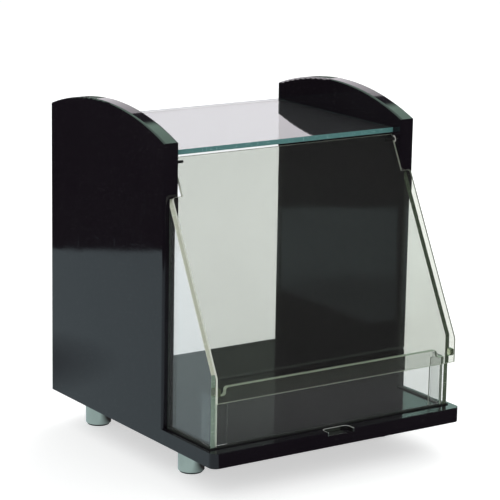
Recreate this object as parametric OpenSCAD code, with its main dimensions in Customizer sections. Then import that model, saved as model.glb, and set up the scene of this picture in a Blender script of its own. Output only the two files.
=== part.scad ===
// Countertop bread display bin: black boards, clear sheets and a lift-up front flap.
// Millimetres. +Z is up and -Y is the front. The origin is on the counter, under the
// middle of the bin's width and depth. Heights named *_z are measured from the counter.

/* [Cabinet] */
// Width over the two side panels
body_w = 360; // [300:1:440]
// Depth of a side panel, front to back
panel_d = 265; // [240:1:320]
// Height of a side panel at its front and back edges
panel_h = 358; // [330:1:420]
// Thickness of a side panel
panel_t = 20; // [18:0.5:25]
// Height of a side panel's back top corner above its front one
back_rise = 9; // [0:1:15]
// Rise of the arched top edge above the line between those corners
arch_rise = 24.5; // [12:0.5:40]
// Radius of the side panels' eased edges
edge_r = 3; // [1:0.25:3]
// Radius of the back top corner of a side panel
back_corner_r = 5; // [3:0.5:8]

/* [Base] */
// Thickness of the base board
base_t = 18; // [16:1:22]
// How far the base board runs forward of the side panels
base_front = 110; // [108:1:150]
// Radius of the base board's front corners
base_corner_r = 9; // [6:1:25]
// Chamfer along the base board's front edge
base_chamfer = 0.8; // [0.4:0.1:1.2]
// Depth of the grooves that the wings and the fence stand in
foot_groove_d = 6; // [4:0.5:8]

/* [Thumb recess] */
// Width of the recess in the base board's front edge
pull_w = 36; // [24:1:60]
// Reach of the recess behind the front edge
pull_reach = 14; // [10:1:14]
// Depth of the recess below the top of the base board
pull_sink = 5; // [3:0.5:8]
// Corner radius of the recess
pull_r = 5; // [3:1:8]
// Thickness of the metal strip that lines it
pull_strip_t = 1.2; // [0.8:0.1:2]

/* [Fixed glazing] */
// Thickness of the top glass
top_t = 6; // [5:0.5:8]
// Drop from the panels' corners to the upper face of the top glass
top_drop = 12; // [8:1:20]
// Distance of the top glass behind the panels' front edges
top_set = 16; // [12:1:24]
// Distance of the top glass in front of the panels' back edges
top_back_set = 2; // [1:1:8]
// Thickness of the rear sheet
rear_t = 5; // [4:0.5:6]
// Distance of the rear sheet in front of the panels' back edges
rear_set = 9; // [6:1:20]
// Depth of the panels' grooves for the glass edges
groove_d = 5; // [3:0.5:6]
// Thickness of a side wing
wing_t = 6; // [5:0.5:8]
// Distance of a wing's outer face in from the panel's outer face
wing_inset = 8; // [7.5:0.5:9]
// Distance of the wings' front edges in front of the panels
wing_front = 92; // [84:1:94]
// Height of the front fence above the base board
fence_h = 72; // [50:1:90]
// Thickness of the front fence
fence_t = 6; // [5:0.5:8]
// Width of the notch in each top corner of the fence
notch_w = 11; // [6:1:16]
// Height of that notch
notch_h = 9.5; // [6:0.5:20]
// Thickness of the black seal round the glass feet
seal_t = 1.5; // [1:0.25:2]
// Leg of the clear corner strips behind the fence
strip_leg = 19; // [12:1:19]
// Thickness of the corner strips
strip_t = 2; // [1.5:0.5:3]

/* [Flap] */
// Thickness of the flap's sheet
flap_t = 4; // [3:0.5:4.5]
// Distance of the flap's side edges in from the panels' outer faces
flap_inset = 8; // [3:1:9]
// Height of the bend above the top of the fence
bend_over_fence = 14; // [6:1:18]
// Height of the upright lip below the bend
lip_h = 29; // [24:1:40]
// Space between the fence and the back of the lip
lip_gap = 9; // [4:0.5:10]
// Inner radius of the bend
bend_r = 8; // [3:1:12]
// Space between the wings' slanted edges and the flap
flap_gap = 7; // [7:0.5:10]
// Height of the rubber bumpers on the wings' front edges
bumper_h = 8.5; // [6:0.5:12]
// Drop of a bumper's top below the wing's front corner
bumper_drop = 15; // [12:0.5:20]
// Space between the panels' front edges and the flap's shoulders
shoulder_gap = 3; // [2:0.5:5]
// Radius of the shoulders' corners
shoulder_r = 4; // [2:0.5:6]
// Drop of the pivot axis below the underside of the top glass
pivot_drop = 8; // [8:0.5:12]
// Distance of the pivot axis behind the panels' front edges
pivot_set = 14; // [12:0.5:18]
// Height of the tongue above the pivot axis, along the sheet
tongue_over = 6; // [4.5:0.5:6]
// Space between the tongue and each side panel
tongue_gap = 1.5; // [1:0.5:3]
// Diameter of the round pivot ears
ear_d = 5; // [5:0.5:6]
// Length of an ear inside its bush
ear_in = 8; // [6:0.5:9]
// Wall of the pivot bushes
bush_wall = 2; // [1.5:0.5:3]

/* [Feet] */
// Diameter of a foot
foot_d = 32; // [26:1:38]
// Height of a foot with its pad
foot_h = 40; // [35:1:60]
// Distance of a foot's axis in from the base board's side
foot_inset = 42; // [34:1:50]
// Distance of the front feet's axes behind the panels' front edges
foot_front_set = 1; // [0:1:20]
// Distance between the front and rear feet's axes
foot_pitch = 218; // [190:1:222]
// Exposed height of the rubber pad
pad_h = 2; // [1.5:0.5:4]
// Diameter of the rubber pad
pad_d = 28; // [20:1:30]

/* [Hidden] */
$fn = 64;

// Clearances
fit = 0.05;        // radial, round pieces seated in a bore
run = 0.08;        // radial, the ears turning in their bushes
rest_gap = 0.3;    // flap to bumper when closed, and sheet to sheet
eps = 1;           // how far a cutter runs past the face it opens

// Overall places
total_d = panel_d + base_front;
front_y = -total_d / 2 + base_front;       // the panels' front edges
back_y = total_d / 2;                      // the panels' back edges
board_z = foot_h;                          // underside of the boards
floor_z = foot_h + base_t;                 // top of the base board
half_w = body_w / 2;
inner_half = half_w - panel_t;
function ahead(u) = front_y - u;           // Y at a distance in front of the panels

// Arch over a panel: one circle through both top corners
chord = norm([panel_d, back_rise]);
arch_r = (pow(chord / 2, 2) + pow(arch_rise, 2)) / (2 * arch_rise);
arch_y = (front_y + back_y) / 2 + (arch_r - arch_rise) * back_rise / chord;
arch_z = board_z + panel_h + back_rise / 2 - (arch_r - arch_rise) * panel_d / chord;
panel_top = panel_h + back_rise + arch_rise;          // above the highest point of a panel

// Top glass and rear sheet
top_z = board_z + panel_h - top_drop - top_t;         // underside of the top glass
rear_y = back_y - rear_set - rear_t;                  // front face of the rear sheet
rear_foot_z = floor_z - groove_d;                     // foot of the rear sheet

// Flap, seen from the side as (distance ahead, height)
pivot_u = -pivot_set;
pivot_z = top_z - pivot_drop;
lip_u = wing_front + lip_gap;                         // back face of the lip
bend_z = floor_z + fence_h + bend_over_fence;         // where slope and lip meet, back faces
reach_u = lip_u - pivot_u;
reach_z = pivot_z - bend_z;
slope = atan2(reach_u, reach_z) + asin(flap_t / 2 / norm([reach_u, reach_z]));
shoulder_s = (shoulder_gap + pivot_set + flap_t / 2 * cos(slope)) / sin(slope);
bend_cut = bend_r * tan(slope / 2);                   // back face lost to the bend, each side
flap_half = half_w - flap_inset;
tongue_half = inner_half - tongue_gap;
ear_root = 12;                                        // length of an ear inside the sheet

// Wings: their slanted edges run parallel to the flap
function wing_z(u) = bend_z + ((lip_u - u) * cos(slope) - flap_gap) / sin(slope);
wing_x = half_w - wing_inset;                         // outer face
wing_seat = groove_d - 1;                             // back edge inside the panel
glass_foot_z = floor_z - foot_groove_d + seal_t;
fence_half = wing_x - wing_t - seal_t - rest_gap;
fence_top_z = floor_z + fence_h;
seal_lip = 1.5;                                       // seal showing above the base board

// Bumpers on the wings' front edges
bumper_top_z = wing_z(wing_front) - bumper_drop;
bumper_r = 2;                                         // rounding of a bumper's front

// Feet
foot_bore_d = 6.6;
foot_socket_d = 14;
foot_web = 7;                                         // steel above the socket
screw_d = 6;
screw_up = 11;                                        // screw inside the base board
screw_head_d = 11;
screw_head_h = 4;
insert_d = 10;
insert_h = 12;
foot_ys = [ahead(-foot_front_set), ahead(-foot_front_set - foot_pitch)];

// Hidden joints between the side panels and the base board
joint_z = board_z + base_t / 2;
function between_feet(share) = -foot_front_set - foot_pitch * share;
cam_us = [between_feet(0.27), between_feet(0.75)];
dowel_us = [between_feet(0.15), between_feet(0.51), between_feet(0.89)];
cam_d = 15;
cam_h = 12.5;
cam_in = 24;                                          // lock's axis to the panel's face
bolt_shank_d = 6.5;
bolt_thread_d = 5;
bolt_thread_l = 11;
dowel_d = 8;
dowel_in_panel = 12;
dowel_in_base = 22;

// Colours
board_black = [0.05, 0.05, 0.06];
clear_tint = [0.80, 0.92, 0.88, 0.35];
flap_tint = [0.86, 0.95, 0.88, 0.35];
steel = [0.75, 0.75, 0.74];
rubber_black = [0.08, 0.08, 0.08];
nylon_white = [0.9, 0.9, 0.86];
zinc = [0.66, 0.67, 0.68];
beech = [0.78, 0.62, 0.42];

// A left-hand piece as it is, or its right-hand twin
module on_side(side) mirror([side > 0 ? 1 : 0, 0, 0]) children();

// A profile drawn as (Y, Z), made t thick from x upwards
module slab(x, t) translate([x, 0, 0]) rotate([90, 0, 90]) linear_extrude(t) children();

// A round bar or bore along X
module bar_x(x, u, z, d, len) {
    translate([x, ahead(u), z]) rotate([0, 90, 0]) cylinder(d = d, h = len);
}

// Cutter that rounds a corner at the origin, whose material lies towards (sx, sy)
module round_over(sx, sy, r) {
    difference() {
        translate([sx > 0 ? -eps : -r, sy > 0 ? -eps : -r]) square(r + eps);
        translate([sx * r, sy * r]) circle(r = r, $fn = 32);
    }
}

// Rounded arch edge at x, with the panel's material towards +X or -X
module arch_edge_cut(x, toward) {
    translate([x, arch_y, arch_z]) rotate([0, 90, 0])
        rotate_extrude($fn = 180) translate([arch_r, 0]) round_over(-1, toward, edge_r);
}

// Rounded upright edge at (x, y), with the material towards (sx, sy)
module upright_edge_cut(x, y, z, sx, sy) {
    translate([x, y, z]) linear_extrude(panel_top + 2 * eps)
        round_over(sx, sy, edge_r);
}

// Outline of a side panel as (Y, Z), with its back top corner rounded
module panel_outline() {
    r = back_corner_r;
    corner_y = back_y - r;
    corner_z = arch_z + sqrt(pow(arch_r - r, 2) - pow(corner_y - arch_y, 2));
    out = (arch_r + eps) / (arch_r - r);
    tip = [arch_y + (corner_y - arch_y) * out, arch_z + (corner_z - arch_z) * out];
    difference() {
        intersection() {
            translate([front_y, board_z]) square([panel_d, panel_top]);
            translate([arch_y, arch_z]) circle(r = arch_r, $fn = 180);
        }
        polygon([[corner_y, corner_z], [back_y + eps, corner_z], [back_y + eps, tip[1]], tip]);
    }
    translate([corner_y, corner_z]) circle(r = r);
}

module panel_blank(x) slab(x, panel_t) panel_outline();

module side_panel(side) {
    x = -half_w;
    color(board_black) on_side(side) difference() {
        panel_blank(x);
        // eased edges: the arch, the back and, above the base board, the front
        arch_edge_cut(x, 1);
        arch_edge_cut(x + panel_t, -1);
        upright_edge_cut(x, back_y, board_z - eps, 1, -1);
        upright_edge_cut(x + panel_t, back_y, board_z - eps, -1, -1);
        upright_edge_cut(x, front_y, floor_z, 1, 1);
        upright_edge_cut(x + panel_t, front_y, floor_z, -1, 1);
        // groove for the top glass, open at the back
        translate([x + panel_t - groove_d, front_y + top_set, top_z])
            cube([groove_d + eps, panel_d, top_t]);
        // groove for the rear sheet
        translate([x + panel_t - groove_d, rear_y, rear_foot_z])
            cube([groove_d + eps, rear_t, top_z - rear_foot_z]);
        // groove for the wing's back edge
        translate([x + wing_inset, front_y - eps, floor_z])
            cube([wing_t, wing_seat + eps, wing_z(-wing_seat) - floor_z]);
        // blind bore for the pivot bush
        bar_x(x + panel_t - ear_in - 1, pivot_u, pivot_z, bush_d + 2 * fit, ear_in + 1 + eps);
        // holes for the hidden joints
        for (u = cam_us)
            bar_x(x + panel_t - bolt_thread_l - 1, u, joint_z, bolt_thread_d + 2 * fit,
                  bolt_thread_l + 1 + eps);
        for (u = dowel_us)
            bar_x(x + panel_t - dowel_in_panel - 1, u, joint_z, dowel_d + 2 * fit,
                  dowel_in_panel + 1 + eps);
    }
}

bush_d = ear_d + 2 * run + 2 * bush_wall;

module pivot_bush(side) {
    color(nylon_white) on_side(side) difference() {
        bar_x(-inner_half - ear_in - 1, pivot_u, pivot_z, bush_d, ear_in + 1);
        bar_x(-inner_half - ear_in, pivot_u, pivot_z, ear_d + 2 * run, ear_in + eps);
    }
}

// Outline of the base board: a T with two rounded front corners
module base_outline() {
    front = ahead(base_front);
    translate([-inner_half, front_y]) square([2 * inner_half, panel_d]);
    translate([-half_w, front + base_corner_r])
        square([body_w, base_front - base_corner_r]);
    translate([-half_w + base_corner_r, front])
        square([body_w - 2 * base_corner_r, 2 * base_corner_r]);
    for (side = [-1, 1])
        translate([side * (half_w - base_corner_r), front + base_corner_r])
            circle(r = base_corner_r);
}

// Plan of the thumb recess, grown outwards by a margin
module pull_plan(margin) {
    r = pull_r + margin;
    half = pull_w / 2 + margin;
    front = ahead(base_front);
    depth = pull_reach + margin;
    translate([-half, front - eps]) square([2 * half, depth - r + eps]);
    translate([-half + r, front - eps]) square([2 * (half - r), depth + eps]);
    for (side = [-1, 1])
        translate([side * (half - r), front + depth - r]) circle(r = r);
}

module base_board() {
    groove_z = floor_z - foot_groove_d;
    color(board_black) difference() {
        translate([0, 0, board_z]) linear_extrude(base_t) base_outline();
        // eased top edge along the front
        translate([0, ahead(base_front), floor_z]) rotate([45, 0, 0])
            cube([body_w - 2 * base_corner_r, base_chamfer * sqrt(2), base_chamfer * sqrt(2)],
                 center = true);
        // grooves for the wings, the fence and the rear sheet
        for (side = [-1, 1]) on_side(side)
            translate([-wing_x - seal_t, ahead(wing_front) - seal_t, groove_z])
                cube([wing_t + 2 * seal_t, wing_front + seal_t, foot_groove_d + eps]);
        translate([-wing_x, ahead(wing_front) - seal_t, groove_z])
            cube([2 * wing_x, fence_t + 2 * seal_t, foot_groove_d + eps]);
        translate([-inner_half, rear_y, rear_foot_z])
            cube([2 * inner_half, rear_t, groove_d + eps]);
        // thumb recess
        translate([0, 0, floor_z - pull_sink]) linear_extrude(pull_sink + eps)
            pull_plan(pull_strip_t);
        // hidden joints
        for (side = [-1, 1]) on_side(side) {
            for (u = cam_us) {
                bar_x(-inner_half - eps, u, joint_z, bolt_shank_d + 2 * fit, cam_in + eps);
                translate([-inner_half + cam_in, ahead(u), board_z - eps])
                    cylinder(d = cam_d + 2 * fit, h = cam_h + eps);
            }
            for (u = dowel_us)
                bar_x(-inner_half - eps, u, joint_z, dowel_d + 2 * fit, dowel_in_base + 1 + eps);
        }
        // insert nuts for the feet
        for (x = [-1, 1], y = foot_ys)
            translate([x * (half_w - foot_inset), y, board_z - eps])
                cylinder(d = insert_d + 2 * fit, h = insert_h + eps);
    }
}

module pull_strip() {
    color(steel) difference() {
        translate([0, 0, floor_z - pull_sink]) linear_extrude(pull_sink)
            intersection() {
                pull_plan(pull_strip_t);
                translate([-pull_w, ahead(base_front)]) square([2 * pull_w, 2 * pull_reach]);
            }
        translate([0, 0, floor_z - pull_sink - eps]) linear_extrude(pull_sink + 2 * eps)
            pull_plan(0);
    }
}

module top_glass() {
    x = inner_half + groove_d;
    color(clear_tint) translate([-x, front_y + top_set, top_z])
        cube([2 * x, panel_d - top_set - top_back_set, top_t]);
}

module rear_sheet() {
    x = inner_half + groove_d;
    color(clear_tint)
        translate([-x, rear_y, rear_foot_z]) cube([2 * x, rear_t, top_z - rear_foot_z]);
}

module wing(side) {
    front = ahead(wing_front);
    color(clear_tint) on_side(side) {
        slab(-wing_x, wing_t)
            polygon([[front, glass_foot_z], [front_y, glass_foot_z], [front_y, floor_z],
                     [front_y + wing_seat, floor_z], [front_y + wing_seat, wing_z(-wing_seat)],
                     [front, wing_z(wing_front)]]);
    }
}

module wing_seal(side) {
    groove_z = floor_z - foot_groove_d;
    color(rubber_black) on_side(side) difference() {
        translate([-wing_x - seal_t, ahead(wing_front) - seal_t, groove_z])
            cube([wing_t + 2 * seal_t, wing_front + seal_t, foot_groove_d + seal_lip]);
        translate([-wing_x, ahead(wing_front), glass_foot_z])
            cube([wing_t, wing_front + eps, foot_groove_d + seal_lip]);
    }
}

module front_fence() {
    notch_x = fence_half - notch_w;
    notch_z = fence_top_z - notch_h;
    r = notch_w / 3;                                  // both curves of the notch
    color(clear_tint) translate([0, ahead(wing_front) + fence_t, 0]) rotate([90, 0, 0])
        linear_extrude(fence_t) {
            translate([-fence_half, glass_foot_z]) square([2 * fence_half, notch_z - glass_foot_z]);
            translate([-notch_x, notch_z - r]) square([2 * notch_x, notch_h]);
            translate([-notch_x + r, notch_z]) square([2 * (notch_x - r), notch_h]);
            for (side = [-1, 1]) on_side(side) {
                translate([-notch_x + r, fence_top_z - r]) circle(r = r);
                translate([-notch_x, notch_z]) difference() {
                    translate([-r, -r]) square(2 * r);
                    translate([-r, r]) circle(r = r);
                }
            }
        }
}

module fence_seal() {
    groove_z = floor_z - foot_groove_d;
    half = wing_x - wing_t - seal_t;
    color(rubber_black) difference() {
        translate([-half, ahead(wing_front) - seal_t, groove_z])
            cube([2 * half, fence_t + 2 * seal_t, foot_groove_d + seal_lip]);
        translate([-fence_half, ahead(wing_front), glass_foot_z])
            cube([2 * fence_half, fence_t, foot_groove_d + seal_lip]);
    }
}

module corner_strip(side) {
    x = -wing_x + wing_t;
    y = ahead(wing_front) + fence_t;
    low_z = floor_z + seal_lip;
    high_z = fence_top_z - notch_h;
    color(clear_tint) on_side(side) translate([x, y, low_z]) {
        cube([strip_leg, strip_t, high_z - low_z]);
        cube([strip_t, strip_leg, high_z - low_z]);
    }
}

module bumper(side) {
    front = ahead(lip_u) + rest_gap;
    back = ahead(wing_front);
    low_z = bumper_top_z - bumper_h;
    r = bumper_r;
    color(rubber_black) on_side(side) slab(-wing_x, wing_t) {
        translate([front + r, low_z]) square([back - front - r, bumper_h]);
        translate([front, low_z + r]) square([2 * r, bumper_h - 2 * r]);
        for (z = [low_z + r, low_z + bumper_h - r]) translate([front + r, z]) circle(r = r);
    }
}

// Points of an arc from one angle to another, both ends included
function arc(cx, cy, r, from, to, steps = 10) =
    [for (i = [0 : steps]) [cx + r * cos(from + (to - from) * i / steps),
                            cy + r * sin(from + (to - from) * i / steps)]];

// Side profile of the flap as (Y, Z): slope, bend and upright lip
module flap_profile() {
    roll_y = ahead(lip_u - bend_r);
    roll_z = bend_z - bend_cut;
    back_y0 = ahead(pivot_u) + flap_t / 2 * cos(slope);
    back_z0 = pivot_z - flap_t / 2 * sin(slope);
    top_y = back_y0 + tongue_over * sin(slope);
    top_z0 = back_z0 + tongue_over * cos(slope);
    polygon(concat(
        [[ahead(lip_u), bend_z - lip_h]],
        arc(roll_y, roll_z, bend_r, 180, 180 - slope),
        [[top_y, top_z0], [top_y - flap_t * cos(slope), top_z0 + flap_t * sin(slope)]],
        arc(roll_y, roll_z, bend_r + flap_t, 180 - slope, 180),
        [[ahead(lip_u + flap_t), bend_z - lip_h]]));
}

// Outline of the flap in the plane of its slope: broad below, with a tongue between the panels
module flap_outline() {
    r = shoulder_r;
    low = -shoulder_s;
    translate([-flap_half, low - r - reach_z * 2]) square([2 * flap_half, reach_z * 2]);
    translate([-flap_half + r, low - 2 * r]) square([2 * (flap_half - r), 2 * r]);
    translate([-tongue_half, low - r]) square([2 * tongue_half, r - low + tongue_over + eps]);
    for (side = [-1, 1])
        translate([side * (flap_half - r), low - r]) circle(r = r);
}

module flap() {
    color(flap_tint) {
        intersection() {
            slab(-flap_half - eps, 2 * (flap_half + eps)) flap_profile();
            translate([0, ahead(pivot_u), pivot_z]) rotate([90 - slope, 0, 0])
                translate([0, 0, -lip_h]) linear_extrude(2 * lip_h) flap_outline();
        }
        // round ears, let into the sheet's top corners
        for (side = [-1, 1]) on_side(side)
            bar_x(-inner_half - ear_in + 0.5, pivot_u, pivot_z, ear_d,
                  ear_in - 0.5 + tongue_gap + ear_root);
    }
}

module foot(side, y) {
    color(steel) translate([side * (half_w - foot_inset), y, 0]) difference() {
        union() {
            translate([0, 0, pad_h + 1]) cylinder(d = foot_d, h = foot_h - pad_h - 1);
            translate([0, 0, pad_h]) cylinder(d1 = foot_d - 2, d2 = foot_d, h = 1);
        }
        translate([0, 0, pad_h - eps])
            cylinder(d = foot_socket_d, h = foot_h - pad_h - foot_web + eps);
        cylinder(d = foot_bore_d, h = foot_h + eps);
    }
}

module foot_pad(side, y) {
    color(rubber_black) translate([side * (half_w - foot_inset), y, 0]) {
        cylinder(d = pad_d, h = pad_h);
        cylinder(d = foot_socket_d - 2 * fit, h = pad_h + 5);
    }
}

module foot_screws() {
    head_z = foot_h - foot_web - screw_head_h;
    color(zinc) for (x = [-1, 1], y = foot_ys)
        translate([x * (half_w - foot_inset), y, head_z]) {
            cylinder(d = screw_head_d, h = screw_head_h);
            cylinder(d = screw_d - 2 * fit, h = screw_head_h + foot_web + screw_up);
        }
}

module foot_inserts() {
    color(zinc) for (x = [-1, 1], y = foot_ys)
        translate([x * (half_w - foot_inset), y, board_z]) difference() {
            cylinder(d = insert_d, h = insert_h);
            translate([0, 0, -eps]) cylinder(d = screw_d, h = insert_h + 2 * eps);
        }
}

module cam_bolts(side) {
    color(zinc) on_side(side) for (u = cam_us) {
        bar_x(-inner_half - bolt_thread_l, u, joint_z, bolt_thread_d, bolt_thread_l);
        bar_x(-inner_half, u, joint_z, bolt_shank_d, cam_in - cam_d / 2 + 2);
    }
}

module cam_locks(side) {
    color(zinc) on_side(side) for (u = cam_us) difference() {
        translate([-inner_half + cam_in, ahead(u), board_z]) cylinder(d = cam_d, h = cam_h);
        bar_x(-inner_half, u, joint_z, bolt_shank_d + 2 * fit, cam_in - cam_d / 2 + 2);
        translate([-inner_half + cam_in - 4, ahead(u) - 0.6, board_z - eps])
            cube([8, 1.2, 1.5 + eps]);
    }
}

module dowels(side) {
    color(beech) on_side(side) for (u = dowel_us)
        bar_x(-inner_half - dowel_in_panel, u, joint_z, dowel_d, dowel_in_panel + dowel_in_base);
}

base_board();
side_panel(-1);  // side_panel_left
side_panel(1);  // side_panel_right
top_glass();
rear_sheet();
wing(-1);  // wing_left
wing(1);  // wing_right
front_fence();
corner_strip(-1);  // corner_strip_left
corner_strip(1);  // corner_strip_right
wing_seal(-1);  // wing_seal_left
wing_seal(1);  // wing_seal_right
fence_seal();
bumper(-1);  // bumper_left
bumper(1);  // bumper_right
flap();
pivot_bush(-1);  // pivot_bush_left
pivot_bush(1);  // pivot_bush_right
pull_strip();
foot(-1, foot_ys[0]);  // foot_front_left
foot(1, foot_ys[0]);  // foot_front_right
foot(-1, foot_ys[1]);  // foot_rear_left
foot(1, foot_ys[1]);  // foot_rear_right
foot_pad(-1, foot_ys[0]);  // foot_pad_front_left
foot_pad(1, foot_ys[0]);  // foot_pad_front_right
foot_pad(-1, foot_ys[1]);  // foot_pad_rear_left
foot_pad(1, foot_ys[1]);  // foot_pad_rear_right
foot_screws();
foot_inserts();
cam_bolts(-1);  // cam_bolts_left
cam_bolts(1);  // cam_bolts_right
cam_locks(-1);  // cam_locks_left
cam_locks(1);  // cam_locks_right
dowels(-1);  // dowels_left
dowels(1);  // dowels_right
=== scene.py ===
# %% [markdown]
# # A countertop bread display bin
# Two black gloss boards with arched tops stand on a black base board. Between them are a top
# glass and a rear sheet, in front of them two side wings, a low fence and a clear flap that
# swings up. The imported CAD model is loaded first. It is the fixed frame of this lesson: the
# pieces take their places and main sizes from it, and Blender adds finishes, eased edges and
# turned details.

# %% Load the frame
import math

import bmesh
import bpy
from mathutils import Matrix, Vector


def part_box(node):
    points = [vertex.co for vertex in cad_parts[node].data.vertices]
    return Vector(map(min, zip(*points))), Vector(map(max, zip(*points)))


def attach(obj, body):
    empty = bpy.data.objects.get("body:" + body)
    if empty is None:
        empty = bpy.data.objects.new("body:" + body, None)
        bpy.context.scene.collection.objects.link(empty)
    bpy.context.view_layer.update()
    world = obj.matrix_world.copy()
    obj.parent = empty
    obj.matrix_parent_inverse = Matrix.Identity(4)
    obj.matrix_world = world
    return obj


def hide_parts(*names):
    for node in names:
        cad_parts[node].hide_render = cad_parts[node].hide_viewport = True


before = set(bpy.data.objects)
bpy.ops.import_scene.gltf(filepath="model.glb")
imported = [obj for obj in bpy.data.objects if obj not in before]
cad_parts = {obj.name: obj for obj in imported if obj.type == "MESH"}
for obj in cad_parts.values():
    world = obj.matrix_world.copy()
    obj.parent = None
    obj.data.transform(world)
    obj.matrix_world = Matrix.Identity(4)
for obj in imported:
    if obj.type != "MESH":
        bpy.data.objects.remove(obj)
scene = bpy.context.scene
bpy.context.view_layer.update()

# %% [markdown]
# ## The camera
# The picture was taken with a long lens from the bin's left front, a little above it. A pinhole
# camera has only a few numbers: where it stands, where it looks, how it is rolled and its focal
# length. They are written here as angles round the bin, because that is how a photographer
# would walk round it. The frame is square, so the focal length in pixels gives the lens.

# %% Set up the camera
FRAME_PIXELS = 500
SENSOR = 36.0                       # mm across
FOCAL_PIXELS = 2248
AZIMUTH = math.radians(34.34)
ELEVATION = math.radians(13.10)
ROLL = math.radians(1.04)
DISTANCE = 2.656
LOOK_AT = Vector((-0.0531, -0.0775, 0.262))
LOOK_AT_PIXEL = (254.7, 247.9)      # where that point lies in the frame


def camera_matrix():
    """The camera's place and its three axes, so that LOOK_AT lands on LOOK_AT_PIXEL."""
    flat, rise = math.cos(ELEVATION), math.sin(ELEVATION)
    forward = Vector((math.sin(AZIMUTH) * flat, math.cos(AZIMUTH) * flat, -rise))
    right = forward.cross(Vector((0, 0, 1))).normalized()
    up = right.cross(forward)
    across = right * math.cos(ROLL) + up * math.sin(ROLL)
    above = up * math.cos(ROLL) - right * math.sin(ROLL)
    place = LOOK_AT - forward * DISTANCE
    middle = FRAME_PIXELS / 2
    aim = forward + across * ((middle - LOOK_AT_PIXEL[0]) / FOCAL_PIXELS)
    aim = (aim - above * ((middle - LOOK_AT_PIXEL[1]) / FOCAL_PIXELS)).normalized()
    across = aim.cross(above).normalized()
    above = across.cross(aim)
    turn = Matrix((across, above, -aim)).transposed().to_4x4()
    return Matrix.Translation(place) @ turn


lens = bpy.data.cameras.new("camera")
lens.sensor_width = SENSOR
lens.lens = SENSOR * FOCAL_PIXELS / FRAME_PIXELS
camera = bpy.data.objects.new("camera", lens)
scene.collection.objects.link(camera)
camera.matrix_world = camera_matrix()
scene.camera = camera
print("camera at", [round(v, 3) for v in camera.location], "lens", round(lens.lens, 1), "mm")

# %% [markdown]
# ## Small helpers for node trees
# A node tree is a list of nodes and a list of wires. One helper adds a node, sets its switches
# and fills its inputs: a plain value is written into a socket and another node's output is
# wired to it. The rest of the lesson then reads as a list of steps.

# %% Helpers for node trees


def put(tree, kind, inputs=None, **switches):
    """Adds a node. inputs maps a socket's name or number to a value or to an output socket."""
    node = tree.nodes.new(kind)
    for name, value in switches.items():
        setattr(node, name, value)
    for socket, value in (inputs or {}).items():
        if isinstance(value, bpy.types.NodeSocket):
            tree.links.new(value, node.inputs[socket])
        else:
            node.inputs[socket].default_value = value
    return node


def calculate(tree, operation, first, second=0.0, clamp=False):
    """The output of a Math node."""
    return put(tree, "ShaderNodeMath", {0: first, 1: second},
               operation=operation, use_clamp=clamp).outputs[0]


def remap(tree, value, low, high, to_low=0.0, to_high=1.0):
    """value from low..high to to_low..to_high, held inside that range."""
    inputs = {"Value": value, "From Min": low, "From Max": high, "To Min": to_low,
              "To Max": to_high}
    return put(tree, "ShaderNodeMapRange", inputs).outputs["Result"]


FIRST_COLOUR, SECOND_COLOUR, MIXED_COLOUR = 6, 7, 2   # the colour sockets of a Mix node
FLOAT = "NodeSocketFloat"


def blend_colours(tree, share, first, second):
    """A mix of two colours by share."""
    inputs = {0: share, FIRST_COLOUR: first, SECOND_COLOUR: second}
    return put(tree, "ShaderNodeMix", inputs, data_type="RGBA").outputs[MIXED_COLOUR]


def shared_effect(name, output, **inputs):
    """A node group with float inputs and one float output. Returns tree, input node, output node."""
    tree = bpy.data.node_groups.new(name, "ShaderNodeTree")
    for socket_name, value in inputs.items():
        socket = tree.interface.new_socket(socket_name, in_out="INPUT", socket_type=FLOAT)
        socket.default_value = value
    tree.interface.new_socket(output, in_out="OUTPUT", socket_type=FLOAT)
    return tree, tree.nodes.new("NodeGroupInput"), tree.nodes.new("NodeGroupOutput")


print("helpers ready")

# %% [markdown]
# ## Effects that several finishes share
# Gloss boards and clear sheets show the same things under studio light: hairline scratches from
# wiping, cloudy smudges, specks of dust and a very slight waviness. Each is a node group with
# named inputs, built once. A group gives only a mask or a height, and the material decides what
# it changes. The patterns read Object coordinates, so their scale is in metres on every piece.

# %% Hairline scratches, smudges, dust and waviness
SCRATCH_CONTRAST = 25.0   # how sharply a scratch stands out from the clean surface
PEEL_FINENESS = 16.0      # how much finer the orange peel is than the waviness

scratches, inside, result = shared_effect("hairline_scratches", "Mask", Scale=30.0, Rarity=0.72)
place = put(scratches, "ShaderNodeTexCoord").outputs["Object"]
lines = []
for turn, stretch in (((0.3, 0.9, 0.2), (1, 14, 14)), ((1.1, -0.4, 0.7), (12, 1, 12)),
                      ((-0.5, 0.2, -0.9), (13, 13, 1))):
    turned = put(scratches, "ShaderNodeMapping",
                 {"Vector": place, "Rotation": turn, "Scale": stretch}).outputs[0]
    grain = put(scratches, "ShaderNodeTexNoise",
                {"Vector": turned, "Scale": inside.outputs["Scale"], "Detail": 2.0})
    rare = calculate(scratches, "SUBTRACT", grain.outputs[0], inside.outputs["Rarity"])
    lines.append(calculate(scratches, "MULTIPLY", rare, SCRATCH_CONTRAST, clamp=True))
strongest = calculate(scratches, "MAXIMUM", calculate(scratches, "MAXIMUM", *lines[:2]), lines[2])
scratches.links.new(strongest, result.inputs["Mask"])

smudges, inside, result = shared_effect("wiped_smudges", "Mask", Scale=9.0, Low=0.42, High=0.7)
place = put(smudges, "ShaderNodeTexCoord").outputs["Object"]
cloud = put(smudges, "ShaderNodeTexNoise", {
    "Vector": place, "Scale": inside.outputs["Scale"], "Detail": 5.0, "Distortion": 0.6})
smudges.links.new(
    remap(smudges, cloud.outputs[0], inside.outputs["Low"], inside.outputs["High"]),
    result.inputs["Mask"])

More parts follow.
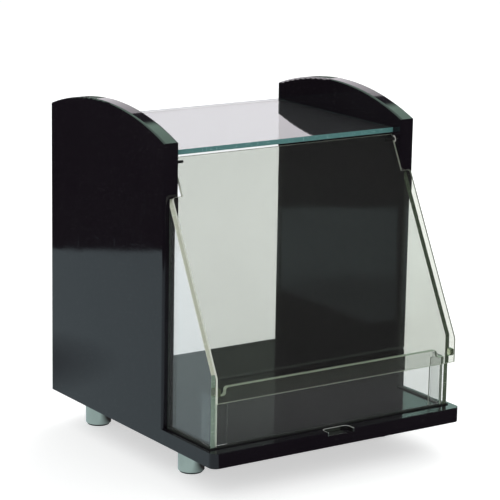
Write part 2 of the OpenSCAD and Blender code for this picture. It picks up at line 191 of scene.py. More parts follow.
dust, inside, result = shared_effect("dust_specks", "Mask", Scale=420.0, Size=0.16, Share=0.08)
place = put(dust, "ShaderNodeTexCoord").outputs["Object"]
cells = put(dust, "ShaderNodeTexVoronoi", {"Vector": place, "Scale": inside.outputs["Scale"]})
near = calculate(dust, "LESS_THAN", cells.outputs["Distance"], inside.outputs["Size"])
pick = put(dust, "ShaderNodeSeparateColor", {0: cells.outputs["Color"]}).outputs[0]
few = calculate(dust, "LESS_THAN", pick, inside.outputs["Share"])
dust.links.new(calculate(dust, "MULTIPLY", near, few), result.inputs["Mask"])

waves, inside, result = shared_effect("slight_waviness", "Height", Scale=22.0, Fine=0.15)
place = put(waves, "ShaderNodeTexCoord").outputs["Object"]
broad = put(waves, "ShaderNodeTexNoise",
            {"Vector": place, "Scale": inside.outputs["Scale"], "Detail": 1.0}).outputs[0]
peel_scale = calculate(waves, "MULTIPLY", inside.outputs["Scale"], PEEL_FINENESS)
peel = put(waves, "ShaderNodeTexNoise",
           {"Vector": place, "Scale": peel_scale, "Detail": 1.0}).outputs[0]
peel = calculate(waves, "MULTIPLY", peel, inside.outputs["Fine"])
waves.links.new(calculate(waves, "ADD", broad, peel), result.inputs["Height"])

turning, inside, result = shared_effect("turning_lines", "Height", Pitch=0.0004, Drift=3.0)
place = put(turning, "ShaderNodeTexCoord").outputs["Object"]
parts = put(turning, "ShaderNodeSeparateXYZ", {0: place}).outputs
rings = calculate(turning, "DIVIDE", parts[2], inside.outputs["Pitch"])
round_x = calculate(turning, "MULTIPLY", parts[0], inside.outputs["Drift"])
round_y = calculate(turning, "MULTIPLY", parts[1], inside.outputs["Drift"])
spun = put(turning, "ShaderNodeCombineXYZ", {0: round_x, 1: round_y, 2: rings}).outputs[0]
turning.links.new(put(turning, "ShaderNodeTexNoise", {
    "Vector": spun, "Scale": 1.0, "Detail": 2.0}).outputs[0], result.inputs["Height"])
print("shared effects:", sorted(g.name for g in bpy.data.node_groups))

# %% [markdown]
# ## Materials
# Every finish is one Principled BSDF. Its plain numbers, such as the index of refraction, are
# written straight into its sockets. Only colour, roughness and the normal come from nodes.


# %% Helpers for materials


def effect(tree, group, **values):
    """A shared effect placed in a material. Underscores stand for spaces in its inputs' names."""
    node = put(tree, "ShaderNodeGroup", node_tree=group)
    for name, value in values.items():
        node.inputs[name.replace("_", " ")].default_value = value
    return node.outputs[0]


def start_material(name, **values):
    """A material with one Principled BSDF. Returns material, tree, that node and the output."""
    material = bpy.data.materials.new(name)
    material.use_nodes = True
    tree = material.node_tree
    tree.nodes.clear()
    surface = put(tree, "ShaderNodeBsdfPrincipled")
    for socket, value in values.items():
        surface.inputs[socket.replace("_", " ")].default_value = value
    out = put(tree, "ShaderNodeOutputMaterial", {"Surface": surface.outputs[0]})
    return material, tree, surface, out


def bump(tree, surface, height, strength, distance, normal=None):
    """Feeds the surface's normal from a height."""
    node = put(tree, "ShaderNodeBump", {"Height": height, "Strength": strength,
                                        "Distance": distance})
    if normal is not None:
        tree.links.new(normal, node.inputs["Normal"])
    tree.links.new(node.outputs[0], surface.inputs["Normal"])


def let_lamps_through(tree, surface, out, tint):
    """Rays from lamps cross the sheet unbent, so that what is behind it isn't left in the dark."""
    open_air = put(tree, "ShaderNodeBsdfTransparent", {"Color": tint})
    is_shadow = put(tree, "ShaderNodeLightPath").outputs["Is Shadow Ray"]
    mixed = put(tree, "ShaderNodeMixShader",
                {0: is_shadow, 1: surface.outputs[0], 2: open_air.outputs[0]})
    tree.links.new(mixed.outputs[0], out.inputs["Surface"])


# %% [markdown]
# ### Black gloss board
# The boards are lacquered to a high gloss. The colour is nearly black, and what is seen is the
# mirror image of the room: a pale table in the lower half and darkness above. A little
# roughness, a very slight waviness and wiping marks keep that image from being perfect. Real
# arrises are never knife-sharp, so a Bevel node rounds the shading of the unrounded edges.

# %% Black gloss board
LACQUER_ROUGHNESS, WIPED_ROUGHNESS, HAIR_ROUGHNESS = 0.035, 0.05, 0.16
DUST_COVER = 0.35          # how much of the lacquer a speck of dust hides

board_black, tree, surface, _ = start_material("board_black", IOR=1.5)
specks = effect(tree, dust, Scale=500.0, Size=0.15, Share=0.05)
wiped = effect(tree, smudges, Scale=7.0, Low=0.4, High=0.75)
hairs = effect(tree, scratches, Scale=26.0, Rarity=0.70)
depth = blend_colours(tree, wiped, (0.0075, 0.0055, 0.0085, 1), (0.0105, 0.0085, 0.0115, 1))
dusty = calculate(tree, "MULTIPLY", specks, DUST_COVER)
tree.links.new(blend_colours(tree, dusty, depth, (0.30, 0.31, 0.30, 1)),
               surface.inputs["Base Color"])
gloss = calculate(tree, "ADD", LACQUER_ROUGHNESS,
                  calculate(tree, "MULTIPLY", wiped, WIPED_ROUGHNESS))
gloss = calculate(tree, "ADD", gloss, calculate(tree, "MULTIPLY", hairs, HAIR_ROUGHNESS))
tree.links.new(gloss, surface.inputs["Roughness"])
eased = put(tree, "ShaderNodeBevel", {"Radius": 0.0006}, samples=4).outputs[0]
bump(tree, surface, effect(tree, waves, Scale=16.0, Fine=0.05), 0.12, 0.0012, eased)

# %% [markdown]
# ### Clear sheets
# The fixed sheets are float glass, the flap and the small corner strips are acrylic. All are
# solid sheets with real thickness, so light bends through them as it should. The faces of a
# sheet have one finish and its ground edges another, because the edges collect the light inside
# the sheet. The edges' tints are painted light and shade: the ground edges come in darker and
# paler copies, each as dark or pale as what lies behind that edge makes it look. The two
# bumpers are soft clear gel, with the same kind of finish as the faces.


# %% Clear sheets and their edges
WIPED_TINT = 0.97          # a wiped patch lets this share of the light through
WIPED_HAZE, HAIR_HAZE = 0.02, 0.06   # roughness from wiping and from hairline scratches


def clear_sheet(name, tint, lamp_tint, ior, haze, worn=1.0):
    """A clear face. haze is the share of light sent back by dust, worn the strength of its marks."""
    material, tree, surface, out = start_material(
        name, IOR=ior, Transmission_Weight=1.0 - haze)
    wiped = effect(tree, smudges, Scale=11.0, Low=0.45, High=0.8)
    hairs = effect(tree, scratches, Scale=34.0, Rarity=0.73)
    darker = tuple(WIPED_TINT * value for value in tint) + (1,)
    tree.links.new(blend_colours(tree, wiped, (*tint, 1), darker), surface.inputs["Base Color"])
    rough = calculate(tree, "ADD", calculate(tree, "MULTIPLY", wiped, WIPED_HAZE * worn),
                      calculate(tree, "MULTIPLY", hairs, HAIR_HAZE * worn))
    tree.links.new(rough, surface.inputs["Roughness"])
    let_lamps_through(tree, surface, out, (*lamp_tint, 1))
    return material


def sheet_edge(name, tint, pale, transmission):
    """A ground and polished edge: fine grinding lines, part clear and part milky."""
    material, tree, surface, out = start_material(
        name, IOR=1.5, Transmission_Weight=transmission)
    ground = effect(tree, scratches, Scale=60.0, Rarity=0.66)
    tree.links.new(blend_colours(tree, ground, (*tint, 1), (*pale, 1)),
                   surface.inputs["Base Color"])
    tree.links.new(remap(tree, ground, 0.0, 1.0, 0.22, 0.42), surface.inputs["Roughness"])
    let_lamps_through(tree, surface, out, (*tint, 1))
    return material


clear_glass = clear_sheet("clear_glass", (0.85, 0.87, 0.86), (0.84, 0.90, 0.86), 1.5, 0.03)
rear_glass = clear_sheet("rear_glass", (0.778, 0.79, 0.80), (0.88, 0.92, 0.90), 1.5, 0.02)
top_pane = clear_sheet("top_pane", (0.62, 0.64, 0.65), (0.86, 0.90, 0.88), 1.5, 0.03)
clear_acrylic = clear_sheet("clear_acrylic", (0.69, 0.71, 0.655), (0.88, 0.91, 0.88), 1.49, 0.01)
strip_acrylic = clear_sheet("strip_acrylic", (0.96, 0.97, 0.96), (0.96, 0.98, 0.96), 1.49, 0.0,
                            worn=0.0)
soft_gel = clear_sheet("soft_gel", (0.58, 0.64, 0.48), (0.62, 0.68, 0.52), 1.42, 0.12)
# Painted light and shade: these edge finishes are darker and paler copies of one ground edge, each
# tinted as lit or shaded as the edge looks where it sits.
glass_edge = sheet_edge("glass_edge", (0.13, 0.17, 0.115), (0.21, 0.26, 0.19), 0.3)
green_edge = sheet_edge("green_edge", (0.35, 0.47, 0.38), (0.43, 0.56, 0.46), 0.3)
teal_edge = sheet_edge("teal_edge", (0.15, 0.36, 0.35), (0.22, 0.45, 0.43), 0.3)
cream_edge = sheet_edge("cream_edge", (0.74, 0.77, 0.64), (0.82, 0.85, 0.75), 0.1)
pale_edge = sheet_edge("pale_edge", (0.72, 0.80, 0.68), (0.80, 0.86, 0.76), 0.15)
acrylic_edge = sheet_edge("acrylic_edge", (0.84, 0.87, 0.76), (0.90, 0.92, 0.84), 0.1)
print("finishes so far:", sorted(material.name for material in bpy.data.materials))

# %% [markdown]
# ### Steel, nickel, rubber, plastic, zinc and beech
# The feet are turned steel: fine rings from the tool run round them and draw every reflection
# out into an upright streak. Rubber, nylon and black plastic are dull with a fine grain, and the
# strip round the thumb recess is matt nickel. Zinc plate and beech are only seen where the bin
# is taken apart, but they get their own finish too.

# %% Metal, rubber, plastic and wood
GRAIN_SPREAD = 0.06        # how far a grained finish's roughness strays either way


def grained(name, colour, other, roughness, scale, height, **values):
    """A finish whose colour and surface vary with one fine noise."""
    material, tree, surface, _ = start_material(name, **values)
    place = put(tree, "ShaderNodeTexCoord").outputs["Object"]
    grain = put(tree, "ShaderNodeTexNoise",
                {"Vector": place, "Scale": scale, "Detail": 4.0}).outputs[0]
    share = remap(tree, grain, 0.35, 0.65)
    tree.links.new(blend_colours(tree, share, (*colour, 1), (*other, 1)),
                   surface.inputs["Base Color"])
    strayed = remap(tree, grain, 0.3, 0.7, roughness - GRAIN_SPREAD, roughness + GRAIN_SPREAD)
    tree.links.new(strayed, surface.inputs["Roughness"])
    bump(tree, surface, grain, 0.4, height)
    return material


satin_steel, tree, surface, _ = start_material("satin_steel", Metallic=1.0)
tool_marks = effect(tree, turning, Pitch=0.00035, Drift=14.0)
cleaned = effect(tree, smudges, Scale=30.0, Low=0.4, High=0.75)
tree.links.new(blend_colours(tree, cleaned, (0.60, 0.63, 0.56, 1), (0.50, 0.53, 0.47, 1)),
               surface.inputs["Base Color"])
tree.links.new(remap(tree, tool_marks, 0.3, 0.7, 0.10, 0.17), surface.inputs["Roughness"])
bump(tree, surface, tool_marks, 0.25, 0.00008)

black_rubber = grained("black_rubber", (0.012, 0.013, 0.012), (0.022, 0.023, 0.021),
                       0.62, 900.0, 0.00006, IOR=1.5)
black_plastic = grained("black_plastic", (0.014, 0.014, 0.014), (0.024, 0.023, 0.022),
                        0.35, 700.0, 0.00003, IOR=1.5)
white_nylon = grained("white_nylon", (0.78, 0.78, 0.73), (0.70, 0.70, 0.66),
                      0.45, 600.0, 0.00004, IOR=1.53)
matt_nickel = grained("matt_nickel", (0.80, 0.81, 0.78), (0.70, 0.72, 0.69),
                      0.36, 800.0, 0.00002, Metallic=0.3, IOR=1.5)
zinc_plate = grained("zinc_plate", (0.56, 0.57, 0.58), (0.46, 0.47, 0.50),
                     0.34, 350.0, 0.00003, Metallic=1.0)

beech, tree, surface, _ = start_material("beech", IOR=1.5)
place = put(tree, "ShaderNodeTexCoord").outputs["Object"]
along = put(tree, "ShaderNodeMapping", {"Vector": place, "Scale": (60, 900, 900)}).outputs[0]
fibres = put(tree, "ShaderNodeTexNoise", {"Vector": along, "Scale": 1.0, "Detail": 4.0}).outputs[0]
tree.links.new(blend_colours(tree, fibres, (0.50, 0.31, 0.16, 1), (0.66, 0.45, 0.26, 1)),
               surface.inputs["Base Color"])
tree.links.new(remap(tree, fibres, 0.3, 0.7, 0.55, 0.7), surface.inputs["Roughness"])
bump(tree, surface, fibres, 0.5, 0.0001)

FINISHES = {
    "board_black": board_black, "clear_glass": clear_glass, "clear_acrylic": clear_acrylic,
    "satin_steel": satin_steel, "black_rubber": black_rubber, "white_nylon": white_nylon,
    "zinc_plate": zinc_plate, "beech": beech,
}
slot_of = {}
for name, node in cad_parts.items():
    slot_of[name] = node.data.materials[0].name.split(".")[0]
    node.data.materials[0] = FINISHES[slot_of[name]]
for name in ("bumper_left", "bumper_right"):
    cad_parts[name].data.materials[0] = soft_gel
print("finishes on", len(slot_of), "CAD nodes")

# %% [markdown]
# ## Sheets with eased edges
# A glazier takes the sharp edge off every sheet with a fine arris. On a clear sheet that is
# what draws the thin bright line along each edge, so it has to be real geometry. Each sheet is
# a copy of its CAD node: its loose triangles are merged, flat areas are joined into one face,
# and the sharp edges get a narrow bevel. Then the faces are shared out between two or three
# finishes, by the direction in which they look and, for the flap's ears and the ends of the
# corner strips, by place and size. A hair of clearance keeps the copy from lying exactly in the
# walls of its groove. The strip round the thumb recess is eased in the same way.

# %% Ease the edges of the clear sheets
ARRIS = 0.0004             # metres, the width of the ground bevel
CLEARANCE = 0.00006
MERGE_WITHIN = 2e-6
FLAT_WITHIN = math.radians(0.3)
SHARP_FROM = math.radians(40)    # edges at least this sharp get the bevel
SMOOTH_BELOW = math.radians(30)  # edges flatter than this are shaded smooth
BROAD = 0.9                # a face looks along an axis if its normal has this share of it
bush_low, bush_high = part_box("pivot_bush_left")
PIVOT = (bush_low + bush_high) / 2   # on the hinge's axis
EAR_FROM, EAR_RADIUS = 0.146, 0.0029   # where the flap's ears start, and their reach
EAR_FACE = 4e-5            # square metres, more than any face of an ear
NARROW = 4e-4              # square metres, less than any broad face of a strip
SIDEWAYS, FORWARD = 0.3, 0.8   # the bent flap's broad faces look less aside, more forward
SLANT = 0.3                # a wing's slanted edge looks up and forward by more than this
UPWARD = 0.2               # the rim of the thumb recess looks up by more than this


def merged_copy(node):
    """A bmesh of a CAD node with its points merged and its flat areas joined."""
    shape = bmesh.new()
    shape.from_mesh(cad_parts[node].data)
    bmesh.ops.remove_doubles(shape, verts=shape.verts, dist=MERGE_WITHIN)
    bmesh.ops.dissolve_limit(shape, angle_limit=FLAT_WITHIN, verts=shape.verts,
                             edges=shape.edges)
    return shape


def eased_piece(node, piece, share_out, finishes):
    """The eased copy of a CAD node. share_out gives each face the number of its finish."""
    shape = merged_copy(node)
    sharp = [edge for edge in shape.edges
             if edge.is_manifold and edge.calc_face_angle() > SHARP_FROM]
    bmesh.ops.bevel(shape, geom=sharp, offset=ARRIS, segments=1, profile=0.5,
                    affect="EDGES", clamp_overlap=True)
    bmesh.ops.recalc_face_normals(shape, faces=shape.faces)
    shape.normal_update()
    inward = {v: -v.normal * CLEARANCE for v in shape.verts}
    for vert, step in inward.items():
        vert.co += step
    for face in shape.faces:
        face.smooth = True
        face.material_index = share_out(face)
    mesh = bpy.data.meshes.new(piece)
    shape.to_mesh(mesh)
    shape.free()
    for finish in finishes:
        mesh.materials.append(finish)
    mesh.set_sharp_from_angle(angle=SMOOTH_BELOW)
    made = bpy.data.objects.new(piece, mesh)
    scene.collection.objects.link(made)
    weigh = made.modifiers.new("weigh", "WEIGHTED_NORMAL")
    weigh.keep_sharp = True
    weigh.weight = 100
    bpy.context.view_layer.update()
    final = bpy.data.meshes.new_from_object(
        made.evaluated_get(bpy.context.evaluated_depsgraph_get()))
    made.modifiers.clear()
    made.data = final
    final.name = piece
    bpy.data.meshes.remove(mesh)
    return made


def broad_along(axis):
    """0 for a face that looks along one axis, either way, and 1 for the edges."""
    return lambda face: 0 if abs(face.normal[axis]) > BROAD else 1


def flap_part(face):
    """0 for the flap's two broad faces, 2 for its round ears and 1 for its edges."""
    centre = face.calc_center_median()
    off_axis = math.hypot(centre.y - PIVOT.y, centre.z - PIVOT.z)
    if abs(centre.x) > EAR_FROM and off_axis < EAR_RADIUS and face.calc_area() < EAR_FACE:
        return 2
    return 0 if abs(face.normal.x) < SIDEWAYS and abs(face.normal.y) > FORWARD else 1


def wing_part(face):
    """0 for a wing's faces, 2 for its slanted edge under the flap and 1 for the other edges."""
    if abs(face.normal.x) > BROAD:
        return 0
    return 2 if face.normal.z > SLANT and face.normal.y < -SLANT else 1


def strip_part(face):
    """1 for the narrow upright end behind the fence and 0 for the rest of a strip."""
    return 1 if abs(face.normal.x) > BROAD and face.calc_area() < NARROW else 0


def rim_part(face):
    """0 for the rim that looks up, 1 for the upright walls."""
    return 0 if face.normal.z > UPWARD else 1


# The edge finish each sheet gets here is painted light and shade: a darker or paler tint, by how lit
# or shaded that sheet's edges look.
SHEETS = [
    ("top_glass", "cabinet", broad_along(2), (top_pane, teal_edge)),
    ("rear_sheet", "cabinet", broad_along(1), (rear_glass, glass_edge)),
    ("wing_left", "cabinet", wing_part, (clear_glass, green_edge, cream_edge)),
    ("wing_right", "cabinet", wing_part, (clear_glass, glass_edge, glass_edge)),
    ("front_fence", "cabinet", broad_along(1), (clear_glass, pale_edge)),
    ("corner_strip_left", "cabinet", strip_part, (strip_acrylic, acrylic_edge)),
    ("corner_strip_right", "cabinet", strip_part, (strip_acrylic, acrylic_edge)),
    ("flap", "flap", flap_part, (clear_acrylic, acrylic_edge, black_plastic)),
    ("pull_strip", "cabinet", rim_part, (matt_nickel, satin_steel)),
]
for node, body, share_out, finishes in SHEETS:
    piece = eased_piece(node, node + "_eased", share_out, finishes)
    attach(piece, body)
    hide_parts(node)
    print(piece.name, len(piece.data.polygons), "faces")

# %% [markdown]
# ## Turned feet and rubber pads
# Four feet carry the bin. Each is a round steel bar, faced and chamfered on a lathe, with a
# rubber pad let into its lower end. Anything turned follows one rule: a profile spun about an
# axis. Geometry Nodes can state that rule once. A grid is bent round: its rows follow the
# profile and its columns go round the axis. The result is then placed at the four feet, and a
# change of one input changes all of them.

# %% Spin a profile at four places
ROUND_STEPS = 72
TURNED_SMOOTH = math.radians(40)


def turned_tree(name, profile, material, sizes):
    """A Geometry Nodes tree that spins a closed profile and sets it at four places.

    sizes lists the named inputs. profile lists rings as (radius, height), each a dictionary
    from an input's name to the factor by which it counts.
    """
    tree = bpy.data.node_groups.new(name, "GeometryNodeTree")
    tree.interface.new_socket("Geometry", in_out="OUTPUT", socket_type="NodeSocketGeometry")
    for size in sizes:
        tree.interface.new_socket(size, in_out="INPUT", socket_type=FLOAT)
    given = tree.nodes.new("NodeGroupInput").outputs
    rings = len(profile)

    def weighed(terms):
        total = None
        for size, factor in terms.items():
            part = calculate(tree, "MULTIPLY", given[size], factor)
            total = part if total is None else calculate(tree, "ADD", total, part)
        return total

    def ring_value(part, index):
        switch = put(tree, "GeometryNodeIndexSwitch", data_type="FLOAT")
        while len(switch.index_switch_items) < rings:
            switch.index_switch_items.new()
        tree.links.new(index, switch.inputs[0])
        for number in range(rings):
            tree.links.new(weighed(profile[number][part]), switch.inputs[1 + number])
        return switch.outputs[0]

    grid = put(tree, "GeometryNodeMeshGrid", {
        "Size X": 1.0, "Size Y": 1.0, "Vertices X": rings + 1, "Vertices Y": ROUND_STEPS + 1})
    index = put(tree, "GeometryNodeInputIndex").outputs[0]
    row = calculate(tree, "FLOOR", calculate(tree, "DIVIDE", index, ROUND_STEPS + 1.0))
    row = calculate(tree, "MODULO", row, float(rings))
    column = calculate(tree, "MODULO", index, ROUND_STEPS + 1.0)
    angle = calculate(tree, "MULTIPLY", column, 2 * math.pi / ROUND_STEPS)
    radius, height = ring_value(0, row), ring_value(1, row)
    spot = put(tree, "ShaderNodeCombineXYZ", {
        0: calculate(tree, "MULTIPLY", radius, calculate(tree, "COSINE", angle)),
        1: calculate(tree, "MULTIPLY", radius, calculate(tree, "SINE", angle)),
        2: height}).outputs[0]
    spun = put(tree, "GeometryNodeSetPosition", {"Geometry": grid.outputs[0], "Position": spot})
    closed = put(tree, "GeometryNodeMergeByDistance",
                 {"Geometry": spun.outputs[0], "Distance": 1e-6})
    places = put(tree, "GeometryNodeMeshGrid", {
        "Size X": given["Across"], "Size Y": given["Along"], "Vertices X": 2, "Vertices Y": 2})
    centre = put(tree, "ShaderNodeCombineXYZ", {1: given["Centre Y"]}).outputs[0]
    moved = put(tree, "GeometryNodeSetPosition",
                {"Geometry": places.outputs[0], "Offset": centre})
    copies = put(tree, "GeometryNodeInstanceOnPoints",
                 {"Points": moved.outputs[0], "Instance": closed.outputs[0]})
    real = put(tree, "GeometryNodeRealizeInstances", {0: copies.outputs[0]})
    finished = put(tree, "GeometryNodeSetMaterial",
                   {"Geometry": real.outputs[0], "Material": material})
    put(tree, "NodeGroupOutput", {0: finished.outputs[0]})
    return tree


def turned_pieces(piece, tree, values):
    """Runs the tree with these values and keeps the result as a plain mesh."""
    holder = bpy.data.objects.new(piece, bpy.data.meshes.new(piece + "_start"))
    scene.collection.objects.link(holder)
    modifier = holder.modifiers.new("turned", "NODES")
    modifier.node_group = tree
    for item in tree.interface.items_tree:
        if item.item_type == "SOCKET" and item.in_out == "INPUT":
            modifier[item.identifier] = values[item.name]
    bpy.context.view_layer.update()
    mesh = bpy.data.meshes.new_from_object(
        holder.evaluated_get(bpy.context.evaluated_depsgraph_get()))
    holder.modifiers.clear()
    holder.data = mesh
    mesh.name = piece
    shape = bmesh.new()
    shape.from_mesh(mesh)
    bmesh.ops.recalc_face_normals(shape, faces=shape.faces)
    for face in shape.faces:
        face.smooth = True
    shape.to_mesh(mesh)
    shape.free()
    mesh.set_sharp_from_angle(angle=TURNED_SMOOTH)
    return holder


# %% [markdown]
# The sizes are read from the CAD nodes: how wide a foot is, where its ends are, and how far the
# feet stand apart. The foot's edges are rounded in three small steps, and a shallow line is
# turned just below the board, where the bar was parted off.

# %% Feet and pads
FOOT_BORE, FOOT_ROUNDING, PARTING_LINE = 0.0072, 0.0012, 0.0006
PAD_BORE, PAD_GROOVE, PAD_GAP = 0.0035, 0.0007, 0.00005

foot_low, foot_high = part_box("foot_front_left")
far_low, far_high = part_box("foot_rear_right")
pad_low, pad_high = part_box("foot_pad_front_left")
foot_radius = (foot_high.x - foot_low.x) / 2
first = (foot_low + foot_high) / 2
last = (far_low + far_high) / 2
places = {"Across": last.x - first.x, "Along": last.y - first.y,
          "Centre Y": (first.y + last.y) / 2}
foot_profile = [
    ({"Bore": 1}, {"Bottom": 1}),
    ({"Radius": 1, "Rounding": -1}, {"Bottom": 1}),
    ({"Radius": 1, "Rounding": -0.3}, {"Bottom": 1, "Rounding": 0.3}),
    ({"Radius": 1}, {"Bottom": 1, "Rounding": 1}),
    ({"Radius": 1}, {"Top": 1, "Line": -2.2}),
    ({"Radius": 1, "Line": -0.5}, {"Top": 1, "Line": -1.8}),
    ({"Radius": 1, "Line": -0.5}, {"Top": 1, "Line": -1.2}),
    ({"Radius": 1}, {"Top": 1, "Line": -0.8}),
    ({"Radius": 1}, {"Top": 1}),
    ({"Bore": 1}, {"Top": 1}),
]
foot_tree = turned_tree("turned_foot", foot_profile, satin_steel, [
    "Radius", "Bore", "Bottom", "Top", "Rounding", "Line", "Across", "Along", "Centre Y"])
feet = turned_pieces("turned_feet", foot_tree, {
    "Radius": foot_radius, "Bore": FOOT_BORE, "Bottom": foot_low.z, "Top": foot_high.z,
    "Rounding": FOOT_ROUNDING, "Line": PARTING_LINE, **places})
pad_profile = [
    ({"Bore": 1}, {"Bottom": 1}),
    ({"Radius": 0.45}, {"Bottom": 1}),
    ({"Radius": 0.47}, {"Bottom": 1, "Groove": 1}),
    ({"Radius": 0.55}, {"Bottom": 1, "Groove": 1}),
    ({"Radius": 0.57}, {"Bottom": 1}),
    ({"Radius": 0.74}, {"Bottom": 1}),
    ({"Radius": 0.76}, {"Bottom": 1, "Groove": 1}),
    ({"Radius": 0.84}, {"Bottom": 1, "Groove": 1}),
    ({"Radius": 0.86}, {"Bottom": 1}),
    ({"Radius": 1, "Groove": -0.6}, {"Bottom": 1}),
    ({"Radius": 1}, {"Bottom": 1, "Groove": 0.6}),
    ({"Radius": 1}, {"Top": 1}),
    ({"Bore": 1}, {"Top": 1}),
]
pad_tree = turned_tree("moulded_pad", pad_profile, black_rubber, [
    "Radius", "Bore", "Bottom", "Top", "Groove", "Across", "Along", "Centre Y"])
pads = turned_pieces("moulded_pads", pad_tree, {
    "Radius": (pad_high.x - pad_low.x) / 2, "Bore": PAD_BORE, "Bottom": pad_low.z,
    "Top": foot_low.z - PAD_GAP, "Groove": PAD_GROOVE, **places})
corners = [side + "_" + hand for side in ("front", "rear") for hand in ("left", "right")]
for piece, prefix in ((feet, "foot_"), (pads, "foot_pad_")):
    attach(piece, "cabinet")
    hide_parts(*[prefix + corner for corner in corners])
    print(piece.name, len(piece.data.polygons), "faces")

# %% [markdown]
# ## Floor, world and lamps
# A gloss object is a picture of its studio. What gloss sees of the table is a painted reflection:
# the floor glows pale to the left of the bin, with a painted shadow of the bin near its back, and
# dark elsewhere, and the room beyond is dark. That painted reflection is why the left panel is
# pale below and black above. The background is white to the camera, and through clear sheets,
# by Light Path. The lamps are large and soft.

# %% What the camera sees without a mirror
WHITE = (1, 1, 1, 1)
ONE_MIRROR = 0.5             # a glossy depth above this means at least one reflection


def seen_directly(tree):
    """Two shares: seen by the camera, bare or through clear sheets, and seen by gloss."""
    rays = put(tree, "ShaderNodeLightPath").outputs
    first_look = calculate(tree, "LESS_THAN", rays["Glossy Depth"], ONE_MIRROR)
    through = calculate(tree, "MULTIPLY", rays["Is Transmission Ray"], first_look)
    seen = calculate(tree, "MAXIMUM", rays["Is Camera Ray"], through)
    return seen, rays["Is Glossy Ray"]


# %% Floor
FLOOR_RADIUS = 14.0
PALE_REACH = (1.185, 1.215)  # how far from the bin the painted reflection of the table reaches
PALE_SIDE = (-0.12, -0.15)   # the painted reflection is pale to the left of the bin, elsewhere dark
SHADED_SPOT = (-0.22, 0.47, 0.0)
SHADED_REACH = (0.11, 0.20)  # round that spot a painted shadow of the bin lies in the table's reflection
SHADE_KEEPS = 0.5            # the share of the paleness that stays in the middle of the painted shadow
WHITE_GLOW = 0.55
# The two colours of the table's painted reflection, as gloss sees it.
PAINTED_DARK_REFLECTION = (0.030, 0.026, 0.030, 1)
PAINTED_PALE_REFLECTION = (0.46, 0.57, 0.61, 1)

floor_mesh = bpy.data.meshes.new("floor")
shape = bmesh.new()
bmesh.ops.create_circle(shape, cap_ends=True, segments=96, radius=FLOOR_RADIUS)
shape.to_mesh(floor_mesh)
shape.free()
floor = bpy.data.objects.new("floor", floor_mesh)
scene.collection.objects.link(floor)
pale, tree, surface, out = start_material("floor_and_painted_reflection", Roughness=0.9, IOR=1.3)
place = put(tree, "ShaderNodeTexCoord").outputs["Object"]
paper = put(tree, "ShaderNodeTexNoise", {"Vector": place, "Scale": 120.0}).outputs[0]
tree.links.new(blend_colours(tree, paper, (0.78, 0.79, 0.79, 1), (0.80, 0.81, 0.81, 1)),
               surface.inputs["Base Color"])
seen, mirrored = seen_directly(tree)
glow = put(tree, "ShaderNodeEmission", {
    "Color": WHITE, "Strength": calculate(tree, "MULTIPLY", seen, WHITE_GLOW)})
lit_floor = put(tree, "ShaderNodeAddShader", {0: surface.outputs[0], 1: glow.outputs[0]})
distance = put(tree, "ShaderNodeVectorMath", {0: place}, operation="LENGTH").outputs["Value"]
sideways = put(tree, "ShaderNodeSeparateXYZ", {0: place}).outputs
left_share = remap(tree, sideways[0], *PALE_SIDE)
near_share = remap(tree, distance, PALE_REACH[1], PALE_REACH[0])
# Painted shadow: round SHADED_SPOT the painted reflection is darkened as if the bin shaded the
# table.
to_spot = put(tree, "ShaderNodeVectorMath", {0: place, 1: SHADED_SPOT}, operation="DISTANCE")
shade = remap(tree, to_spot.outputs["Value"], *SHADED_REACH, SHADE_KEEPS, 1.0)
pale_share = calculate(tree, "MULTIPLY", calculate(tree, "MULTIPLY", left_share, near_share),
                       shade)
# For glossy rays the floor is this emission, a painted reflection: pale near the bin on its left,
# dark elsewhere, darker in the painted shadow.
painted_table_reflection = put(tree, "ShaderNodeEmission", {
    "Color": blend_colours(tree, pale_share, PAINTED_DARK_REFLECTION, PAINTED_PALE_REFLECTION)})
in_gloss = calculate(tree, "MULTIPLY", mirrored, calculate(tree, "SUBTRACT", 1.0, seen))
both = put(tree, "ShaderNodeMixShader",
           {0: in_gloss, 1: lit_floor.outputs[0], 2: painted_table_reflection.outputs[0]})
tree.links.new(both.outputs[0], out.inputs["Surface"])
floor_mesh.materials.append(pale)

# %% World
CEILING_RISE, CEILING_BACK = (0.56, 0.60), (-0.05, 0.30)   # bright high up behind the bin
GLIMMER_RISE, GLIMMER_RIGHT = (0.34, 0.28), (0.1, 0.4)     # a faint glimmer lower to the right
DARK_ROOM = (0.030, 0.028, 0.034, 1)
GLIMMER = (0.20, 0.24, 0.21, 1)
CEILING = (1.0, 1.45, 1.20, 1)
SOFT_GREY = (0.62, 0.62, 0.62, 1)                          # what lights dull surfaces

world = bpy.data.worlds.new("studio")
scene.world = world
world.use_nodes = True
tree = world.node_tree
tree.nodes.clear()
seen, mirrored = seen_directly(tree)
look = put(tree, "ShaderNodeTexCoord").outputs["Generated"]
way = put(tree, "ShaderNodeSeparateXYZ", {0: look}).outputs
high = calculate(tree, "MULTIPLY", remap(tree, way[2], *CEILING_RISE),
                 remap(tree, way[1], *CEILING_BACK))
low = calculate(tree, "MULTIPLY", remap(tree, way[2], *GLIMMER_RISE),
                remap(tree, way[0], *GLIMMER_RIGHT))
room = blend_colours(tree, low, DARK_ROOM, GLIMMER)
room = blend_colours(tree, high, room, CEILING)
lit = blend_colours(tree, mirrored, SOFT_GREY, room)
sky = put(tree, "ShaderNodeBackground",
          {"Color": blend_colours(tree, seen, lit, WHITE), "Strength": 1.0})
put(tree, "ShaderNodeOutputWorld", {"Surface": sky.outputs[0]})


# %% Lamps


def soft_lamp(name, place, aim, size, power):
    """A large square lamp that neither the camera nor gloss sees."""
    data = bpy.data.lights.new(name, "AREA")
    data.shape = "SQUARE"
    data.size = size
    data.energy = power
    lamp = bpy.data.objects.new(name, data)
    scene.collection.objects.link(lamp)
    lamp.location = place
    lamp.rotation_euler = (Vector(aim) - Vector(place)).to_track_quat("-Z", "Y").to_euler()
    for kind in ("camera", "transmission", "glossy"):
        setattr(lamp, "visible_" + kind, False)


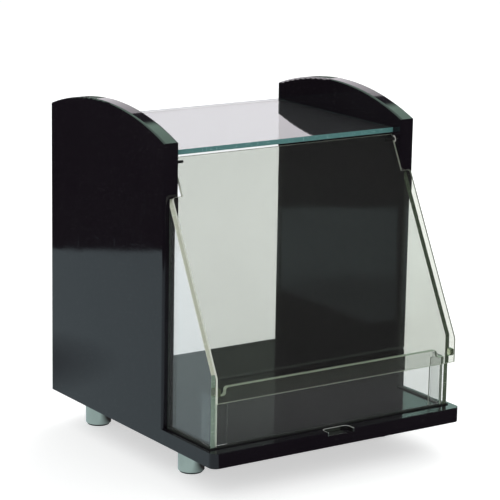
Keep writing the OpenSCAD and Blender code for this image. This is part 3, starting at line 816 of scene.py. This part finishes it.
soft_lamp("key_lamp", (1.43, 1.05, 2.0), aim=(0, 0, 0.4), size=2.0, power=26)
soft_lamp("fill_lamp", (-1.6, -1.9, 1.8), aim=(0, 0, 0.2), size=1.6, power=14)
scene.view_settings.view_transform = "Standard"

# %% [markdown]
# Two glowing cards stand where only reflections see them. They light nothing: they are painted
# reflections. A wide one far behind the bin paints a white reflection on the top glass. A small
# one to the right paints a pale reflection on the corner of the base board.

# %% Cards for the reflections


def card(name, corners, colour, strength, behind_glass=False):
    """A glowing four-cornered card that lights nothing and only paints a reflection. behind_glass:
    also through clear sheets.
    """
    mesh = bpy.data.meshes.new(name)
    mesh.from_pydata([tuple(corner) for corner in corners], [], [(0, 1, 2, 3)])
    made = bpy.data.objects.new(name, mesh)
    scene.collection.objects.link(made)
    finish = bpy.data.materials.new(name)
    finish.use_nodes = True
    card_tree = finish.node_tree
    card_tree.nodes.clear()
    shine = put(card_tree, "ShaderNodeEmission", {"Color": (*colour, 1), "Strength": strength})
    depth = put(card_tree, "ShaderNodeLightPath").outputs["Glossy Depth"]
    reflected = calculate(card_tree, "GREATER_THAN", depth, ONE_MIRROR)
    nothing = put(card_tree, "ShaderNodeBsdfTransparent")
    shown = put(card_tree, "ShaderNodeMixShader",
                {0: reflected, 1: nothing.outputs[0], 2: shine.outputs[0]})
    put(card_tree, "ShaderNodeOutputMaterial", {"Surface": shown.outputs[0]})
    mesh.materials.append(finish)
    for kind in ("camera", "diffuse", "shadow"):
        setattr(made, "visible_" + kind, False)
    made.visible_transmission = behind_glass


CORNERS = ((0, 0), (1, 0), (1, 1), (0, 1))   # once round a card, as numbers of side and height
WALL_AWAY, WALL_SIDES, WALL_HEIGHTS = 2.0, (-1.2, 1.2), (0.62, 1.50)
CARD_X, CARD_Y, CARD_Z = 0.6, (0.1, 0.62), (0.1, 0.45)
toward = Vector((math.sin(AZIMUTH), math.cos(AZIMUTH), 0))
along = Vector((toward.y, -toward.x, 0))
# Painted reflections: two glowing cards that light nothing.
card("painted_white_reflection",
     [toward * WALL_AWAY + along * WALL_SIDES[side] + Vector((0, 0, WALL_HEIGHTS[height]))
      for side, height in CORNERS],
     (1.0, 0.95, 1.0), 1.25)
card("painted_side_reflection", [(CARD_X, CARD_Y[side], CARD_Z[height]) for side, height in CORNERS],
     (0.42, 0.62, 0.56), 1.7, behind_glass=True)
print("stage ready")
